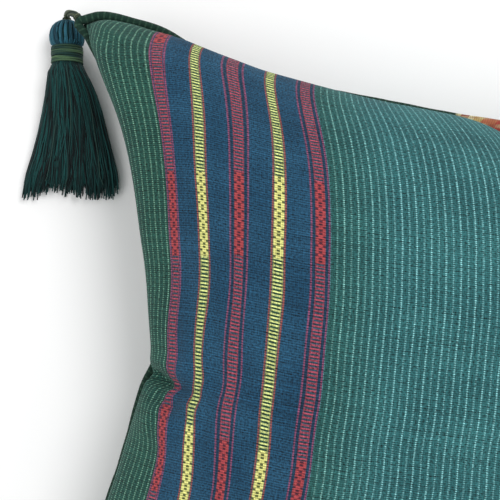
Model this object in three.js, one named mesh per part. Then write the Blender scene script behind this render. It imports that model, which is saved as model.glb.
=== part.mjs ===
// An oblong filled cushion lying on its back: a piped seam with a concave outline between
// pointed corners, and a thread tassel on a short loop at each corner.
// Millimetres, +Z up. The origin is the middle of the flat spot that the cushion rests on.
import * as THREE from "three";
import { mergeVertices } from "three/addons/utils/BufferGeometryUtils.js";

// ---------------------------------------------------------------- sizes
const CORNER_X = 237; // half the distance between corner tips, across
const CORNER_Y = 188.5; // the same, up and down
const SEAM_CORNER_Z = 32; // height of the seam at a corner tip
const SEAM_SIDE_Z = 48; // height of the seam along a side
const CROWN = 72; // rise of the front above the sheet that spans the seam
const CROWN_POWER = 1.6; // how flat the middle of the crown is
const EDGE_POWER = 0.31; // how steeply the front rises from the seam, lower is steeper
const REST_DROP = 1.5; // how soon the back panel reaches the resting surface
const PANEL_STEPS = 34; // grid steps along a panel side
const PIPING_RADIUS = 2.5;
const PIPING_OFFSET = 3.05; // piping centre outside the seam edge
const PIPING_SIDES = 6;
const TIP_OFFSET = 3.7; // piping centre from a corner tip
const NECK_RADIUS = 8.2;
const BAND_INNER = 8.7;
const BAND_OUTER = 9.3;
const BAND_FROM = 15.6; // along the tassel, from the top of its head
const BAND_TO = 25.7;
const TASSEL_AXIS_Z = 10.1;
const LOOP_RADIUS = 1.8;
const LOOP_GAP = 0.5;
const LOOP_START = 1.35; // from the piping

// How the seam runs along each side. at goes from -1 at the side's first corner to 1 at its
// last, in is how far the seam is drawn in from the line of the tips, and out is how far the
// front swells out over the seam there.
const LEFT_SEAM = [ // from the lower corner to the upper one
  { at: -1, in: 0, out: 0 },
  { at: -0.928, in: 6.5, out: 0 },
  { at: -0.822, in: 15.5, out: 0.5 },
  { at: -0.69, in: 24.5, out: 1 },
  { at: -0.53, in: 33.5, out: 1 },
  { at: -0.392, in: 40.1, out: 1 },
  { at: -0.302, in: 44.8, out: 1 },
  { at: -0.208, in: 48.7, out: 0.5 },
  { at: -0.114, in: 51.7, out: 0 },
  { at: -0.05, in: 54.6, out: 0 },
  { at: 0, in: 58.6, out: 0 },
  { at: 0.041, in: 60.8, out: 6 },
  { at: 0.153, in: 58.8, out: 7 },
  { at: 0.286, in: 55.5, out: 7 },
  { at: 0.375, in: 51.4, out: 7.6 },
  { at: 0.463, in: 48.1, out: 7.8 },
  { at: 0.552, in: 44.3, out: 8.4 },
  { at: 0.64, in: 39.3, out: 8.6 },
  { at: 0.7, in: 34.8, out: 7.6 },
  { at: 0.747, in: 29.8, out: 3 },
  { at: 0.793, in: 24.6, out: 1 },
  { at: 0.839, in: 20, out: 0.5 },
  { at: 0.884, in: 16, out: 0 },
  { at: 0.93, in: 10.8, out: 0 },
  { at: 1, in: 0, out: 0 },
];
const TOP_SEAM = [ // from the left corner to the right one
  { at: -1, in: 0, out: 0 },
  { at: -0.979, in: -1.8, out: 0 },
  { at: -0.958, in: -3, out: 0 },
  { at: -0.911, in: -1.7, out: 0 },
  { at: -0.863, in: 0.9, out: 0 },
  { at: -0.814, in: 3.9, out: 1.5 },
  { at: -0.764, in: 10, out: 6 },
  { at: -0.71, in: 16.5, out: 7.2 },
  { at: -0.662, in: 21.3, out: 7.4 },
  { at: -0.616, in: 24.8, out: 7.4 },
  { at: -0.572, in: 28.5, out: 6.9 },
  { at: -0.526, in: 30.5, out: 6.6 },
  { at: -0.481, in: 31.9, out: 5.4 },
  { at: -0.384, in: 33.5, out: 2 },
  { at: -0.291, in: 36.2, out: 1 },
  { at: -0.198, in: 38.8, out: 1 },
  { at: -0.103, in: 41.3, out: 1 },
  { at: -0.01, in: 43.2, out: 0 },
  { at: 0.084, in: 43.7, out: 0 },
  { at: 0.253, in: 42.5, out: 0 },
  { at: 0.443, in: 37.5, out: 1 },
  { at: 0.612, in: 28.5, out: 2 },
  { at: 0.76, in: 17, out: 1 },
  { at: 0.878, in: 6, out: 0 },
  { at: 0.962, in: 0, out: 0 },
  { at: 1, in: 0, out: 0 },
];
const RIGHT_SEAM = [ // from the lower corner to the upper one
  { at: -1, in: 0, out: 0 },
  { at: -0.9, in: 6, out: 0 },
  { at: -0.76, in: 16, out: 1 },
  { at: -0.6, in: 26, out: 3 },
  { at: -0.42, in: 34, out: 4 },
  { at: -0.2, in: 39.5, out: 4 },
  { at: 0.02, in: 41, out: 2 },
  { at: 0.2, in: 39, out: 4 },
  { at: 0.42, in: 33, out: 4 },
  { at: 0.62, in: 24, out: 2 },
  { at: 0.78, in: 14, out: 1 },
  { at: 0.91, in: 5, out: 0 },
  { at: 1, in: 0, out: 0 },
];
const BOTTOM_SEAM = [ // from the left corner to the right one
  { at: -1, in: 0, out: 0 },
  { at: -0.93, in: 4, out: 0 },
  { at: -0.82, in: 12, out: 1 },
  { at: -0.68, in: 22, out: 2 },
  { at: -0.54, in: 30, out: 3 },
  { at: -0.36, in: 37, out: 4 },
  { at: -0.14, in: 41, out: 3 },
  { at: 0.1, in: 41, out: 3 },
  { at: 0.3, in: 38, out: 4 },
  { at: 0.48, in: 32, out: 3 },
  { at: 0.64, in: 23, out: 2 },
  { at: 0.8, in: 12, out: 1 },
  { at: 0.92, in: 3.5, out: 0 },
  { at: 1, in: 0, out: 0 },
];

// Main folds of the front: soft troughs from one point to another, deepest near the first.
const FOLDS = [
  { fromX: -189, fromY: 3, toX: -143, toY: -8, width: 6.4, depth: 10.4 },
  { fromX: -186, fromY: 24, toX: -151, toY: 35, width: 9, depth: 3.2 },
  { fromX: -191, fromY: -27, toX: -159, toY: -38, width: 8, depth: 4 },
  { fromX: -228, fromY: 180, toX: -188, toY: 152, width: 6.4, depth: 3.2 },
  { fromX: 196, fromY: -6, toX: 152, toY: -2, width: 9, depth: 6 },
  { fromX: 5, fromY: -147, toX: 2, toY: -109, width: 9, depth: 5.5 },
  { fromX: 24, fromY: 146, toX: 20, toY: 120, width: 9, depth: 2.4 },
];

// Tassel sections along its length: along from the top of the head, half the width, the
// height of the upper side, and how far the middle strays sideways.
const TASSEL = [
  { along: 0, half: 2.6, top: 12.6, stray: 0 },
  { along: 1.3, half: 6.1, top: 16.3, stray: 0 },
  { along: 4, half: 9.1, top: 19.3, stray: 0 },
  { along: 8, half: 10.5, top: 20.7, stray: 0 },
  { along: 12, half: 10.4, top: 20.6, stray: 0 },
  { along: 14.9, half: 9.3, top: 19.4, stray: 0 },
  { along: 15.3, half: NECK_RADIUS, top: TASSEL_AXIS_Z + NECK_RADIUS, stray: 0 },
  { along: 26.0, half: NECK_RADIUS, top: TASSEL_AXIS_Z + NECK_RADIUS, stray: 0 },
  { along: 26.7, half: 9.7, top: 19.2, stray: 0 },
  { along: 29.6, half: 11.1, top: 19.5, stray: 0.2 },
  { along: 38.4, half: 14.4, top: 17.9, stray: 1.3 },
  { along: 49.6, half: 17.4, top: 16.0, stray: 2.1 },
  { along: 64, half: 20.8, top: 13.9, stray: 2.3 },
  { along: 78.4, half: 24.6, top: 12.0, stray: 1.9 },
  { along: 92, half: 28.3, top: 10.1, stray: 1.0 },
  { along: 101.6, half: 29.3, top: 8.3, stray: 0.3 },
];
const TASSEL_SIDES = 14;

// Where each tassel lies: the corner, the top of its head, and its lean from straight down.
const CORNERS = [
  { name: "tl", tipX: -1, tipY: 1, headX: -251.6, headY: 195.3, lean: 4.8 },
  { name: "tr", tipX: 1, tipY: 1, headX: 250.8, headY: 191.5, lean: 7.5 },
  { name: "br", tipX: 1, tipY: -1, headX: 244.6, headY: -202.8, lean: 12 },
  { name: "bl", tipX: -1, tipY: -1, headX: -245.0, headY: -203.2, lean: -3 },
];

// ---------------------------------------------------------------- colours and finish
const cloth = () => new THREE.MeshStandardMaterial({ color: 0x35605f, roughness: 0.86, metalness: 0 });
const pipingCloth = () => new THREE.MeshStandardMaterial({ color: 0x1f4238, roughness: 0.86, metalness: 0 });
const thread = () => new THREE.MeshStandardMaterial({ color: 0x14323a, roughness: 0.7, metalness: 0 });
const bandThread = () => new THREE.MeshStandardMaterial({ color: 0x4c6b3c, roughness: 0.7, metalness: 0 });
const loopThread = () => new THREE.MeshStandardMaterial({ color: 0x5c6a48, roughness: 0.75, metalness: 0 });

// ---------------------------------------------------------------- helpers
// A column of a table at a place along it, on a smooth curve through its rows.
function column(table, key, at) {
  let k = 0;
  while (k < table.length - 2 && at > table[k + 1].at) k += 1;
  const a = table[k];
  const b = table[k + 1];
  const before = table[Math.max(k - 1, 0)];
  const after = table[Math.min(k + 2, table.length - 1)];
  const span = b.at - a.at;
  const t = Math.min(Math.max((at - a.at) / span, 0), 1);
  const slopeA = ((b[key] - before[key]) / (b.at - before.at)) * span;
  const slopeB = ((after[key] - a[key]) / (after.at - a.at)) * span;
  const t2 = t * t;
  const t3 = t2 * t;
  return (
    (2 * t3 - 3 * t2 + 1) * a[key] + (t3 - 2 * t2 + t) * slopeA +
    (3 * t2 - 2 * t3) * b[key] + (t3 - t2) * slopeB
  );
}

const seamHeight = (at) =>
  SEAM_CORNER_Z + (SEAM_SIDE_Z - SEAM_CORNER_Z) * (1 - Math.abs(at) ** 2.4);

// A point of the seam on each side, at from -1 to 1.
const leftEdge = (at) => new THREE.Vector3(-CORNER_X + column(LEFT_SEAM, "in", at), CORNER_Y * at, seamHeight(at));
const rightEdge = (at) => new THREE.Vector3(CORNER_X - column(RIGHT_SEAM, "in", at), CORNER_Y * at, seamHeight(at));
const topEdge = (at) => new THREE.Vector3(CORNER_X * at, CORNER_Y - column(TOP_SEAM, "in", at), seamHeight(at));
const bottomEdge = (at) => new THREE.Vector3(CORNER_X * at, -CORNER_Y + column(BOTTOM_SEAM, "in", at), seamHeight(at));

// The sheet that spans the four seam curves.
function span(u, v) {
  const a = (u + 1) / 2;
  const b = (v + 1) / 2;
  const p = new THREE.Vector3();
  p.addScaledVector(bottomEdge(u), 1 - b).addScaledVector(topEdge(u), b);
  p.addScaledVector(leftEdge(v), 1 - a).addScaledVector(rightEdge(v), a);
  p.addScaledVector(bottomEdge(-1), -(1 - a) * (1 - b)).addScaledVector(bottomEdge(1), -a * (1 - b));
  p.addScaledVector(topEdge(-1), -(1 - a) * b).addScaledVector(topEdge(1), -a * b);
  return p;
}

const fullness = (t) => Math.max(1 - Math.abs(t) ** CROWN_POWER, 0) ** EDGE_POWER;
const backFullness = (t) => Math.sqrt(Math.max(1 - Math.abs(t) ** CROWN_POWER, 0));
const hump = (q) => (q < 0.56 ? Math.sin((Math.PI * q) / 0.56) ** 2 : 0);
const smooth = (t) => {
  const c = Math.min(Math.max(t, 0), 1);
  return c * c * (3 - 2 * c);
};

// How deep the folds are at a point of the front.
function foldDepth(x, y) {
  let depth = 0;
  for (const f of FOLDS) {
    const dx = f.toX - f.fromX;
    const dy = f.toY - f.fromY;
    const length = Math.hypot(dx, dy);
    const along = ((x - f.fromX) * dx + (y - f.fromY) * dy) / length;
    const across = ((x - f.fromX) * dy - (y - f.fromY) * dx) / length;
    const fade = 1 - smooth((along + 6) / (length + 6));
    depth += f.depth * fade * Math.exp(-((across / (f.width * (1 + Math.max(along, 0) / length))) ** 2));
  }
  return depth;
}

function frontPoint(u, v) {
  const p = span(u, v);
  const q = fullness(u) * fullness(v);
  const swell = hump(q);
  const side = (t) => smooth((Math.abs(t) - 0.55) / 0.3);
  const pushX = u < 0 ? -column(LEFT_SEAM, "out", v) : column(RIGHT_SEAM, "out", v);
  const pushY = v < 0 ? -column(BOTTOM_SEAM, "out", u) : column(TOP_SEAM, "out", u);
  p.x += pushX * swell * side(u);
  p.y += pushY * swell * side(v);
  p.z += CROWN * q - foldDepth(p.x, p.y) * smooth(q / 0.4);
  return p;
}

function backPoint(u, v) {
  const p = span(u, v);
  const q = Math.min(backFullness(u) * backFullness(v) * REST_DROP, 1);
  const side = (t) => smooth((Math.abs(t) - 0.6) / 0.3);
  const swell = Math.sin(Math.PI * Math.min(q, 1)) ** 2;
  p.x += 3.2 * Math.sign(u) * swell * side(u);
  p.y += 3.2 * Math.sign(v) * swell * side(v);
  p.z = q >= 1 ? 0 : p.z * (1 - q) ** 1.15;
  return p;
}

function closedGeometry(points, triangles) {
  const g = new THREE.BufferGeometry();
  g.setAttribute("position", new THREE.Float32BufferAttribute(points.flatMap((p) => [p.x, p.y, p.z]), 3));
  g.setIndex(triangles.flat());
  return g;
}

// Grid places along a side, closer together towards the corners.
const place = (k) => Math.sin(((2 * k) / PANEL_STEPS - 1) * (Math.PI / 2));

// ---------------------------------------------------------------- the filled cover
function bodyGeometry() {
  const n = PANEL_STEPS;
  const points = [];
  const triangles = [];
  const front = [];
  const back = [];
  for (let j = 0; j <= n; j += 1) {
    front.push([]);
    back.push([]);
    for (let i = 0; i <= n; i += 1) {
      const edge = i === 0 || j === 0 || i === n || j === n;
      front[j].push(points.length);
      points.push(edge ? span(place(i), place(j)) : frontPoint(place(i), place(j)));
      if (edge) back[j].push(front[j][i]);
      else {
        back[j].push(points.length);
        points.push(backPoint(place(i), place(j)));
      }
    }
  }
  for (let j = 0; j < n; j += 1) {
    for (let i = 0; i < n; i += 1) {
      const rising = i < n / 2 === j < n / 2;
      for (const [grid, flip] of [[front, false], [back, true]]) {
        const a = grid[j][i];
        const b = grid[j][i + 1];
        const c = grid[j + 1][i + 1];
        const d = grid[j + 1][i];
        // the diagonal runs away from the corner tips, so no triangle lies flat in one
        const two = rising ? [[a, b, c], [a, c, d]] : [[a, b, d], [b, c, d]];
        for (const [x, y, z] of two) triangles.push(flip ? [x, z, y] : [x, y, z]);
      }
    }
  }
  return closedGeometry(points, triangles);
}

// ---------------------------------------------------------------- the piping
// Centres of the piping with the way out from the cushion at each, round the whole seam.
function pipingPath() {
  const sides = [
    { edge: bottomEdge, forward: true },
    { edge: rightEdge, forward: true },
    { edge: topEdge, forward: false },
    { edge: leftEdge, forward: false },
  ];
  const outAt = (edge, at, forward) => {
    const step = forward ? 0.004 : -0.004;
    const ahead = edge(Math.min(Math.max(at + step, -1), 1)).sub(edge(Math.min(Math.max(at - step, -1), 1)));
    return new THREE.Vector3(ahead.y, -ahead.x, 0).normalize();
  };
  const path = [];
  sides.forEach(({ edge, forward }, k) => {
    const last = sides[(k + 3) % 4];
    const start = forward ? -1 : 1;
    const tip = edge(start);
    const before = outAt(last.edge, last.forward ? 1 : -1, last.forward);
    const after = outAt(edge, start, forward);
    for (const share of [0, 0.5, 1]) {
      const out = before.clone().lerp(after, share).normalize();
      path.push({ centre: tip.clone().addScaledVector(out, TIP_OFFSET), out });
    }
    for (let i = 3; i <= PANEL_STEPS - 3; i += 1) {
      const at = place(forward ? i : PANEL_STEPS - i);
      const out = outAt(edge, at, forward);
      path.push({ centre: edge(at).addScaledVector(out, PIPING_OFFSET), out });
    }
  });
  return path;
}

function pipingGeometry() {
  const path = pipingPath();
  const points = [];
  const triangles = [];
  path.forEach(({ centre, out }, k) => {
    const next = (k + 1) % path.length;
    for (let j = 0; j < PIPING_SIDES; j += 1) {
      const turn = (2 * Math.PI * (j + 0.5)) / PIPING_SIDES;
      const p = centre.clone().addScaledVector(out, PIPING_RADIUS * Math.cos(turn));
      p.z += PIPING_RADIUS * Math.sin(turn);
      points.push(p);
      const m = (j + 1) % PIPING_SIDES;
      const [a, b, c, d] = [k * PIPING_SIDES + j, next * PIPING_SIDES + j, next * PIPING_SIDES + m, k * PIPING_SIDES + m];
      triangles.push([a, b, c], [a, c, d]);
    }
  });
  return closedGeometry(points, triangles);
}

// ---------------------------------------------------------------- a tassel
// Its length runs along -Y from the origin, and it lies on z = 0.
function tasselGeometry() {
  const points = [];
  const triangles = [];
  const rings = TASSEL.map((row) => {
    const ring = [];
    const rise = row.top - TASSEL_AXIS_Z;
    for (let k = 0; k < TASSEL_SIDES; k += 1) {
      const turn = (2 * Math.PI * (k + 0.5)) / TASSEL_SIDES;
      const up = Math.sin(turn);
      const neck = row.half === NECK_RADIUS;
      // the upper side follows its height, and the under side lies on the surface
      const z = neck
        ? TASSEL_AXIS_Z + NECK_RADIUS * up
        : row.top / 2 + (row.top / 2) * Math.sign(up) * Math.abs(up) ** 0.9;
      const low = row.half < 10.6 ? TASSEL_AXIS_Z + Math.min(rise, row.half) * up : z;
      ring.push(points.length);
      points.push(new THREE.Vector3(row.stray + row.half * Math.cos(turn), -row.along, Math.max(low, 0)));
    }
    return ring;
  });
  for (let s = 0; s + 1 < rings.length; s += 1) {
    for (let k = 0; k < TASSEL_SIDES; k += 1) {
      const m = (k + 1) % TASSEL_SIDES;
      triangles.push([rings[s][k], rings[s + 1][m], rings[s + 1][k]]);
      triangles.push([rings[s][k], rings[s][m], rings[s + 1][m]]);
    }
  }
  for (const [ring, along, flip] of [[rings[0], 0, false], [rings[rings.length - 1], TASSEL[TASSEL.length - 1].along, true]]) {
    const middle = points.length;
    const centre = new THREE.Vector3();
    for (const k of ring) centre.add(points[k]);
    centre.divideScalar(ring.length);
    centre.y = -along;
    points.push(centre);
    for (let k = 0; k < TASSEL_SIDES; k += 1) {
      const m = (k + 1) % TASSEL_SIDES;
      triangles.push(flip ? [middle, ring[k], ring[m]] : [middle, ring[m], ring[k]]);
    }
  }
  return closedGeometry(points, triangles);
}

function bandGeometry() {
  const profile = [
    new THREE.Vector2(BAND_INNER, -BAND_TO),
    new THREE.Vector2(BAND_OUTER - 0.3, -BAND_TO),
    new THREE.Vector2(BAND_OUTER, -(BAND_FROM + BAND_TO) / 2),
    new THREE.Vector2(BAND_OUTER - 0.3, -BAND_FROM),
    new THREE.Vector2(BAND_INNER, -BAND_FROM),
    new THREE.Vector2(BAND_INNER, -BAND_TO),
  ];
  const ring = new THREE.LatheGeometry(profile, 18);
  ring.deleteAttribute("normal");
  ring.deleteAttribute("uv");
  return mergeVertices(ring, 1e-3);
}

function loopGeometry(start, away, head, along) {
  const end = head.clone().addScaledVector(along, -LOOP_GAP);
  const path = new THREE.CatmullRomCurve3([
    start,
    start.clone().addScaledVector(away, 2.6).add(new THREE.Vector3(0, 0, -2)),
    start.clone().lerp(end, 0.55).addScaledVector(away, 2.8).addScaledVector(along, -2),
    end.clone().addScaledVector(along, -2).add(new THREE.Vector3(0, 0, 0.2)),
    end,
  ], false, "centripetal");
  const section = new THREE.Shape();
  for (let k = 0; k < 8; k += 1) {
    const turn = (2 * Math.PI * k) / 8;
    const x = LOOP_RADIUS * Math.cos(turn);
    const y = LOOP_RADIUS * Math.sin(turn);
    if (k === 0) section.moveTo(x, y);
    else section.lineTo(x, y);
  }
  section.closePath();
  const tube = new THREE.ExtrudeGeometry(section, { steps: 10, extrudePath: path, bevelEnabled: false, curveSegments: 1 });
  tube.deleteAttribute("normal");
  tube.deleteAttribute("uv");
  return mergeVertices(tube, 1e-3);
}

// ---------------------------------------------------------------- the whole cushion
const cushion = new THREE.Group();

function add(name, geometry, material, parent = cushion) {
  const mesh = new THREE.Mesh(geometry, material);
  mesh.name = name;
  parent.add(mesh);
  return mesh;
}

add("body", bodyGeometry(), cloth());
add("piping", pipingGeometry(), pipingCloth());

for (const corner of CORNERS) {
  const lean = THREE.MathUtils.degToRad(corner.lean);
  const along = new THREE.Vector3(Math.sin(lean), -Math.cos(lean), 0);
  const tassel = new THREE.Group();
  tassel.position.set(corner.headX, corner.headY, 0);
  tassel.rotation.z = lean;
  cushion.add(tassel);
  add(`tassel_${corner.name}`, tasselGeometry(), thread(), tassel);
  const band = add(`tassel_${corner.name}_band`, bandGeometry(), bandThread(), tassel);
  band.position.z = TASSEL_AXIS_Z;
  const away = new THREE.Vector3(corner.tipX, corner.tipY, 0).normalize();
  const start = new THREE.Vector3(corner.tipX * CORNER_X, corner.tipY * CORNER_Y, SEAM_CORNER_Z)
    .addScaledVector(away, TIP_OFFSET + PIPING_RADIUS + LOOP_START);
  const head = new THREE.Vector3(corner.headX, corner.headY, TASSEL_AXIS_Z);
  add(`tassel_${corner.name}_loop`, loopGeometry(start, away, head, along), loopThread());
}

export default cushion;
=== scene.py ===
import math
import bpy
import numpy as np
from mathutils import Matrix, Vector


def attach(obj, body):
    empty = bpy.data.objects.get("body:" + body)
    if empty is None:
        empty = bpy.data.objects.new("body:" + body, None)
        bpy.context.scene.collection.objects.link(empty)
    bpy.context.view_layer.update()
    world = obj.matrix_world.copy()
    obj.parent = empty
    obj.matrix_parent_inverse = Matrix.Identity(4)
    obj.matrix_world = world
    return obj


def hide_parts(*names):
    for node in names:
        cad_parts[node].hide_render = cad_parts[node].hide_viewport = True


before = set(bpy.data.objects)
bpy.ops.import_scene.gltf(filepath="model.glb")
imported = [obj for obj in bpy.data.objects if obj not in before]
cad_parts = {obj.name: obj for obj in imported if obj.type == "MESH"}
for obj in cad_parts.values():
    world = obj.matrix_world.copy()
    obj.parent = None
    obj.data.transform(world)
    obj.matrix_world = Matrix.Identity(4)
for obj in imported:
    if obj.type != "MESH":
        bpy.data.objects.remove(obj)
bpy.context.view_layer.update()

# ---------------------------------------------------------------- sizes, in millimetres
WIDE, TALL = 500.0, 400.0            # the cover's panels
CX, CY = 237.0, 188.5                # half the distance between corner tips
SEAM_CORNER_Z, SEAM_SIDE_Z = 32.0, 48.0
CROWN, POWER, STEEP = 72.0, 1.6, 0.31
REST_DROP = 1.5
NU, NV = 110, 88                     # threads followed in the cloth, each way
PIPING_RADIUS, PIPING_OFFSET, TIP_OFFSET = 2.5, 2.35, 2.9
BAR_FIRST, BAR_PITCH = 49.5, 20.34   # the woven bars, from the left seam
PIN_PITCH = 3.54                     # pinstripes
AXIS_Z = 10.1                        # of a tassel's head
GATHER_X, GATHER_WIDE, GATHER_DEPTH = 8.0, 18.0, 9.0   # where the top seam is gathered and its piping fuller

# How the seam runs along each side: draw is how far it is drawn in from the line of the
# tips, out how far the front swells over it.
LEFT_SEAM = dict(
    at=[-1, -.928, -.822, -.69, -.53, -.392, -.302, -.208, -.114, -.05, 0, .041, .153, .286, .375, .463,
        .552, .64, .70, .747, .793, .839, .884, .93, .965, 1],
    draw=[0, 6.5, 15.5, 24.5, 33.5, 40.1, 44.8, 48.7, 51.7, 54.6, 58.6, 60.8, 58.8, 55.5, 51.4, 48.1,
          44.3, 39.3, 34.8, 29.8, 24.4, 19, 13.6, 8.0, 3.6, 0],
    out=[0, 0, .5, 2, 3, 3, 3, 2.5, 2, 1, 0, 3.5, 5.8, 6.4, 7.2, 7.6, 8.4, 9.0, 9.8, 9.8, 9.8, 9.8, 10.0, 8.0, 4.0, 0])
TOP_SEAM = dict(
    at=[-1, -.979, -.958, -.911, -.863, -.814, -.764, -.71, -.662, -.616, -.572, -.526, -.481, -.384,
        -.291, -.198, -.103, -.01, .084, .253, .443, .612, .76, .878, .962, 1],
    draw=[0, -1.8, -3, -1.7, .9, 3.9, 10, 16.5, 21.3, 24.8, 28.5, 30.5, 31.9, 33.5, 36.2, 38.8, 41.3,
          43.2, 43.7, 42.5, 37.5, 28.5, 17, 6, 0, 0],
    out=[0, 0, 0, 0, 0, 1.5, 6, 7.2, 7.4, 7.4, 6.9, 6.6, 5.4, 2, 1, 1, 1, 0, 0, 0, 1, 2, 1, 0, 0, 0])
RIGHT_SEAM = dict(
    at=[-1, -.9, -.76, -.6, -.42, -.2, .02, .2, .42, .62, .78, .91, 1],
    draw=[0, 6, 16, 26, 34, 39.5, 41, 39, 33, 24, 14, 5, 0],
    out=[0, 0, 1, 3, 4, 4, 2, 4, 4, 2, 1, 0, 0])
BOTTOM_SEAM = dict(
    at=[-1, -.93, -.82, -.68, -.54, -.36, -.14, .1, .3, .48, .64, .8, .92, 1],
    draw=[0, 4, 12, 22, 30, 37, 41, 41, 38, 32, 23, 12, 3.5, 0],
    out=[0, 0, 1, 2, 3, 4, 3, 3, 4, 3, 2, 1, 0, 0])

# Folds of the front: troughs (depth above 0) and swells (below 0) from one point to
# another, deepest near the first.
FOLD_NAMES = ("from_x", "from_y", "to_x", "to_y", "width", "depth")
FOLDS = [
    (-180, 0, -138, -12, 8.5, 5.0),
    (-188, -20, -150, -28, 5.0, -2.6),
    (-188, 24, -150, 34, 8, 2.4),
    (-186, 13, -158, 14, 6, -2.6),
    (-194, -34, -160, -44, 7, 3.0),
    (-192, 52, -160, 58, 7, 1.6),
    (-200, -66, -168, -74, 7, 2.4),
    (-228, 180, -192, 152, 4.6, 2.6),
    (-220, 188, -168, 168, 4.2, 1.8),
    (196, -6, 152, -2, 7, 5),
    (200, 30, 166, 26, 7, 2.5),
    (198, -44, 168, -36, 7, 2.5),
    (5, -147, 2, -112, 7, 4.5),
    (-40, -146, -34, -122, 7, 2.2),
    (46, -146, 40, -122, 7, 2.2),
    (228, 180, 190, 152, 5, 2.6),
    (228, -180, 190, -150, 5, 2.6),
    (-228, -180, -190, -150, 5, 2.6),
]

# The sharp crease where the left side is pinched, let in after the cloth has settled.
CREASES = [
    (-176, -1.5, -138, -9, 3.2, 9.0),
    (-170, -11, -154, -17, 5.0, 6.5),
    (-168, 6.5, -144, 2, 4.2, -2.4),
    (-172, -26, -150, -31, 6.0, -2.0),
    (-226, 181, -196, 158, 3.0, 1.8),
    (-214, 184, -176, 166, 3.0, 1.2),
]

# Where a tassel's outline is at places along it: half its width, and its upper side.
TASSEL = dict(
    at=[0, 1.3, 4, 8, 12, 14.9, 15.3, 26, 26.7, 29.6, 38.4, 49.6, 64, 78.4, 92, 101.6, 106],
    half=[2.6, 6.1, 9.1, 10.5, 10.4, 9.3, 8.2, 8.2, 9.2, 10.6, 13.9, 17.0, 20.4, 24.2, 27.9, 29.1, 29.3],
    top=[12.6, 16.3, 19.3, 20.7, 20.6, 19.4, 18.3, 18.3, 19.2, 19.5, 17.9, 16, 13.9, 12, 10.1, 8.6, 8.2],
    stray=[0, 0, 0, 0, 0, 0, 0, 0, 0, .2, 1.3, 2.1, 2.3, 1.9, 1.0, .3, 0])
CORNERS = [
    dict(name="tl", tip=(-1, 1), head=(-251.6, 195.3), lean=4.8, seed=11),
    dict(name="tr", tip=(1, 1), head=(250.8, 191.5), lean=7.5, seed=23),
    dict(name="br", tip=(1, -1), head=(244.6, -202.8), lean=12.0, seed=37),
    dict(name="bl", tip=(-1, -1), head=(-245.0, -203.2), lean=-3.0, seed=41),
]

# How far the weave wanders sideways, in mm of cloth, at heights up the panel (v) for the
# five bars, and where each bar's netted part begins.
WANDER = dict(
    v=[0, 60, 140, 166, 178, 187, 196, 206, 218, 240, 265, 305, 345, 370, 400],
    b1=[0, -4.7, -7.3, -6.6, 2.2, 9.5, 2.4, 5.1, 5.5, .5, -2.2, -5.2, -8.1, -7.9, -7.9],
    b2=[0, -3.8, -5.7, -.9, 2.2, 4.8, 2.6, 6.6, 5.1, 1.2, -1.1, -2.5, -9.4, -11.8, -9.1],
    b3=[0, -3.5, -5.2, -1.6, .6, 2.3, 3.4, 3.7, 3.5, 1.2, -1.7, -4.5, -8.5, -8.3, -8.3],
    b4=[0, -2.3, -3.6, -2.6, -1.0, 1.3, 3.2, 3.5, 2.0, -.4, -2.7, -6.4, -12.2, -12.5, -10.1],
    b5=[0, -1.8, -2.7, -2.3, -.9, .3, 1.2, 1.0, -.2, -2.4, -4.8, -6.8, -8.3, -9.0, -8.2])
NET_FROM = [255.2, 256.1, 260.1, 262.9, 264.1]
NET_EVERY = [115.1, 123.4, 129.8, 133.6, 135.9]
NET_LONG = 41.7


# ---------------------------------------------------------------- shape helpers
def column(table, key, at, knots="at"):
    x = np.asarray(table[knots], float)
    y = np.asarray(table[key], float)
    at = np.clip(np.asarray(at, float), x[0], x[-1])
    k = np.clip(np.searchsorted(x, at, side="right") - 1, 0, len(x) - 2)
    km, kp = np.maximum(k - 1, 0), np.minimum(k + 2, len(x) - 1)
    w = x[k + 1] - x[k]
    t = (at - x[k]) / w
    sa = (y[k + 1] - y[km]) / (x[k + 1] - x[km]) * w
    sb = (y[kp] - y[k]) / (x[kp] - x[k]) * w
    return ((2 * t**3 - 3 * t**2 + 1) * y[k] + (t**3 - 2 * t**2 + t) * sa
            + (3 * t**2 - 2 * t**3) * y[k + 1] + (t**3 - t**2) * sb)


def smooth(t):
    c = np.clip(t, 0, 1)
    return c * c * (3 - 2 * c)


def norm(v):
    return np.sqrt((v * v).sum(-1))


def seam_z(at):
    return SEAM_CORNER_Z + (SEAM_SIDE_Z - SEAM_CORNER_Z) * (1 - np.abs(at) ** 2.4)


def edge(side, at):
    at = np.asarray(at, float)
    if side == "left":
        return np.stack([-CX + column(LEFT_SEAM, "draw", at), CY * at, seam_z(at)], -1)
    if side == "right":
        return np.stack([CX - column(RIGHT_SEAM, "draw", at), CY * at, seam_z(at)], -1)
    if side == "top":
        gather = GATHER_DEPTH * np.exp(-((CX * at - GATHER_X) / GATHER_WIDE) ** 2)
        return np.stack([CX * at, CY - column(TOP_SEAM, "draw", at) - gather, seam_z(at)], -1)
    return np.stack([CX * at, -CY + column(BOTTOM_SEAM, "draw", at), seam_z(at)], -1)


def span(a, b):
    """The sheet that spans the four seam curves."""
    sa, sb = ((a + 1) / 2)[..., None], ((b + 1) / 2)[..., None]
    tip = lambda s, t: edge(s, np.array(float(t)))
    return ((1 - sb) * edge("bottom", a) + sb * edge("top", a)
            + (1 - sa) * edge("left", b) + sa * edge("right", b)
            - (1 - sa) * (1 - sb) * tip("bottom", -1) - sa * (1 - sb) * tip("bottom", 1)
            - (1 - sa) * sb * tip("top", -1) - sa * sb * tip("top", 1))


def fullness(t, steep):
    return np.maximum(1 - np.abs(t) ** POWER, 0) ** steep


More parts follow.
